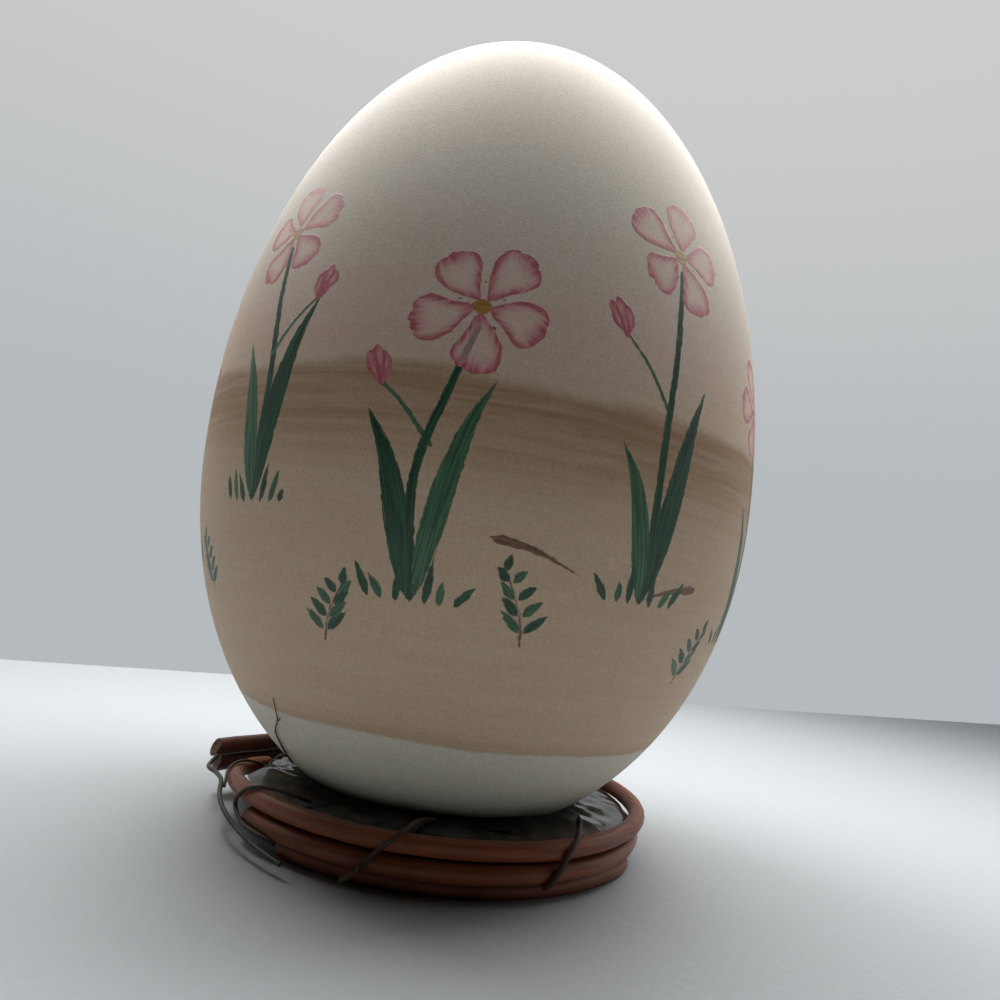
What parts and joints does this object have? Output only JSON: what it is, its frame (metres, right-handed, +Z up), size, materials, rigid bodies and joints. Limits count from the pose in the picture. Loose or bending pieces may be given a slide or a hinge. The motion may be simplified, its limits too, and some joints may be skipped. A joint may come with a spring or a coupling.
{
  "type": "painted ostrich egg on a vine ring stand",
  "caption": "Tall ostrich egg with a painted matt shell, standing on its blunt end in a small ring of wound vine canes.",
  "frame": {"origin": "on the floor under the egg's axis, which is the middle of the ring", "axes": "+Z up along the egg's axis towards its narrow end, the painted front faces -Y, +X is to the right seen from the front"},
  "size_m": [0.11, 0.11, 0.1626],
  "materials": {
    "shell": "matt painted shell",
    "cane": "smooth peeled bark",
    "dark_cane": "smooth bark",
    "tie": "dry tendril",
    "tendril": "dry tendril",
    "glue": "glossy"
  },
  "bodies": {
    "root": {"egg": "shell", "glue_pool": "glue", "cane_top": "cane", "cane_middle": "cane", "cane_under_front": "dark_cane", "cane_under_back": "dark_cane", "cane_cut_upper": "dark_cane", "cane_cut_lower": "dark_cane", "cane_inner": "dark_cane", "cane_seat": "dark_cane", "cane_base": "dark_cane", "tie_left": "tie", "tie_right": "tie", "tie_back": "tie", "tie_middle": "tie", "tendril_left": "tendril", "rootlet": "tendril"}
  },
  "joints": []
}
